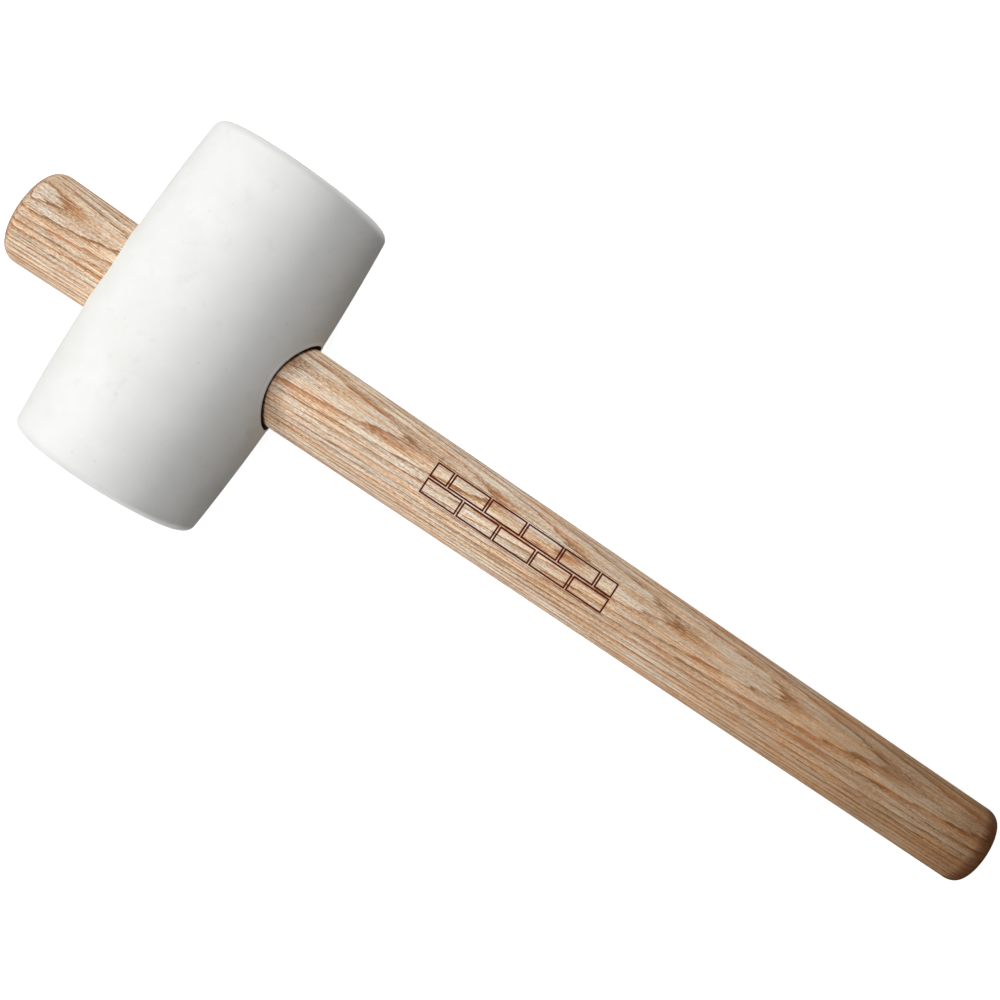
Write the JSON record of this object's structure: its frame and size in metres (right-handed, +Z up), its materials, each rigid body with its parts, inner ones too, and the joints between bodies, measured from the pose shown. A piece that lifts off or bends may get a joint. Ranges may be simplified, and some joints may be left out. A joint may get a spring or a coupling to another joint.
{
  "type": "rubber mallet",
  "caption": "White rubber mallet with a barrel-shaped solid head and a tapered round ash handle that passes right through it, lying on its side.",
  "frame": {"origin": "on the surface that the mallet lies on, under the middle of its length", "axes": "+X along the mallet from the head to the butt of the handle; +Y along the head, from one striking face to the other; +Z up, away from the surface. The handle slopes down towards the butt by 4.3 degrees, because the belly of the head and the edge of the butt both rest on the surface."},
  "size_m": [0.3518, 0.113, 0.0675],
  "materials": {
    "white_rubber": "matte",
    "ash_wood": "satin"
  },
  "bodies": {
    "root": {"rubber_head": "white_rubber", "ash_handle": "ash_wood"}
  },
  "joints": []
}
